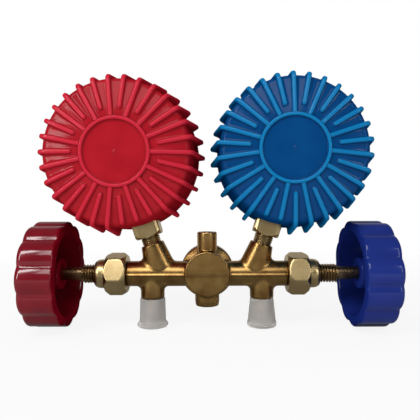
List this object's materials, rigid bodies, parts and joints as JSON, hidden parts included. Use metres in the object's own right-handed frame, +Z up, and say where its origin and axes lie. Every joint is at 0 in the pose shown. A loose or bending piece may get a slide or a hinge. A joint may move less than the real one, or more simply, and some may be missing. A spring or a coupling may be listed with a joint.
{
  "type": "refrigerant manifold gauge",
  "caption": "Forged brass refrigerant manifold with high and low side gauges in finned rubber boots, hand valves and capped hose ports.",
  "frame": {"origin": "mouth of the tapped hook socket on top of the manifold, on the manifold's mid-plane", "axes": "+X along the manifold from the high side to the low side, +Y out of the gauge dials towards the user, +Z up out of the hook socket"},
  "size_m": [0.1893, 0.056, 0.1344],
  "materials": {
    "forged_brass": "as forged and barrel polished",
    "turned_brass": "machined",
    "movement_brass": "stamped and machined",
    "bronze_tube": "drawn phosphor bronze",
    "red_rubber": "moulded, satin",
    "blue_rubber": "moulded, satin",
    "red_plastic": "moulded, glossy",
    "navy_plastic": "moulded, glossy",
    "frosted_plastic": "translucent, soft moulded",
    "white_ptfe": "turned",
    "black_rubber": "moulded",
    "screw_steel": "zinc plated",
    "case_black": "satin black enamel",
    "dial_white": "printed matt white",
    "pointer_black": "matt black",
    "clear_lens": "clear"
  },
  "bodies": {
    "manifold": {"manifold_body": "forged_brass", "sight_glass_gasket": "black_rubber", "sight_glass": "clear_lens", "sight_glass_ring": "turned_brass", "high_bonnet": "turned_brass", "high_packing": "white_ptfe", "high_packing_washer": "turned_brass", "high_boot": "red_rubber", "high_case": "case_black", "high_bezel": "case_black", "high_lens": "clear_lens", "high_lens_gasket": "black_rubber", "high_dial": "dial_white", "high_dial_screws": "screw_steel", "high_socket": "turned_brass", "high_bourdon_tube": "bronze_tube", "high_back_plate": "movement_brass", "high_front_plate": "movement_brass", "high_hairspring": "bronze_tube", "low_bonnet": "turned_brass", "low_packing": "white_ptfe", "low_packing_washer": "turned_brass", "low_boot": "blue_rubber", "low_case": "case_black", "low_bezel": "case_black", "low_lens": "clear_lens", "low_lens_gasket": "black_rubber", "low_dial": "dial_white", "low_dial_screws": "screw_steel", "low_socket": "turned_brass", "low_bourdon_tube": "bronze_tube", "low_back_plate": "movement_brass", "low_front_plate": "movement_brass", "low_hairspring": "bronze_tube"},
    "high_seat": {"high_seat_plug": "turned_brass"},
    "high_valve": {"high_valve_stem": "turned_brass", "high_handwheel": "red_plastic", "high_handwheel_screw": "screw_steel"},
    "high_sector": {"high_sector_gear": "movement_brass"},
    "high_link": {"high_link": "movement_brass"},
    "high_needle": {"high_pinion": "movement_brass", "high_pointer": "pointer_black"},
    "high_cap": {"high_port_cap": "frosted_plastic"},
    "low_seat": {"low_seat_plug": "turned_brass"},
    "low_valve": {"low_valve_stem": "turned_brass", "low_handwheel": "navy_plastic", "low_handwheel_screw": "screw_steel"},
    "low_sector": {"low_sector_gear": "movement_brass"},
    "low_link": {"low_link": "movement_brass"},
    "low_needle": {"low_pinion": "movement_brass", "low_pointer": "pointer_black"},
    "low_cap": {"low_port_cap": "frosted_plastic"}
  },
  "joints": [
    {"name": "high_seat_slide", "type": "slide", "parent": "manifold", "child": "high_seat", "axis": [-1, 0, 0], "range_m": [-0.00225, 0.00405]},
    {"name": "high_valve_turn", "type": "hinge", "parent": "high_seat", "child": "high_valve", "pos_m": [-0.06, 0, -0.0223], "axis": [-1, 0, 0], "range_deg": [-540, 972]},
    {"name": "high_sector_swing", "type": "hinge", "parent": "manifold", "child": "high_sector", "pos_m": [-0.0363, 0, 0.02544], "axis": [0, 1, 0], "range_deg": [0, 27], "stiffness_Nm_per_rad": 0.002, "deforming": ["high_bourdon_tube"]},
    {"name": "high_link_swing", "type": "hinge", "parent": "high_sector", "child": "high_link", "pos_m": [-0.04339, 0, 0.02174], "axis": [0, 1, 0], "range_deg": [-27, 0]},
    {"name": "high_needle_turn", "type": "hinge", "parent": "manifold", "child": "high_needle", "pos_m": [-0.04392, 0, 0.04007], "axis": [0, 1, 0], "range_deg": [-270, 0], "deforming": ["high_hairspring"]},
    {"name": "high_cap_pull", "type": "slide", "parent": "manifold", "child": "high_cap", "axis": [0, 0, -1], "range_m": [0, 0.02]},
    {"name": "low_seat_slide", "type": "slide", "parent": "manifold", "child": "low_seat", "axis": [1, 0, 0], "range_m": [-0.0051, 0.0012]},
    {"name": "low_valve_turn", "type": "hinge", "parent": "low_seat", "child": "low_valve", "pos_m": [0.06, 0, -0.0223], "axis": [1, 0, 0], "range_deg": [-1224, 288]},
    {"name": "low_sector_swing", "type": "hinge", "parent": "manifold", "child": "low_sector", "pos_m": [0.04206, -0.00021, 0.02467], "axis": [0.0698, 0.9973, -0.022], "range_deg": [-3.4, 23.6], "stiffness_Nm_per_rad": 0.002, "deforming": ["low_bourdon_tube"]},
    {"name": "low_link_swing", "type": "hinge", "parent": "low_sector", "child": "low_link", "pos_m": [0.03414, 0.00037, 0.02571], "axis": [0.0698, 0.9973, -0.022], "range_deg": [-23.6, 3.4]},
    {"name": "low_needle_turn", "type": "hinge", "parent": "manifold", "child": "low_needle", "pos_m": [0.04422, 0, 0.04103], "axis": [0.0698, 0.9973, -0.022], "range_deg": [-236, 34], "deforming": ["low_hairspring"]},
    {"name": "low_cap_pull", "type": "slide", "parent": "manifold", "child": "low_cap", "axis": [0, 0, -1], "range_m": [0, 0.02]}
  ],
  "couplings": [
    {"joint": "high_seat_slide", "follows": "high_valve_turn", "m_per_rad": 0.00023873},
    {"joint": "high_link_swing", "follows": "high_sector_swing", "ratio": -1},
    {"joint": "high_needle_turn", "follows": "high_sector_swing", "ratio": -10},
    {"joint": "low_seat_slide", "follows": "low_valve_turn", "m_per_rad": 0.00023873},
    {"joint": "low_link_swing", "follows": "low_sector_swing", "ratio": -1},
    {"joint": "low_needle_turn", "follows": "low_sector_swing", "ratio": -10}
  ]
}
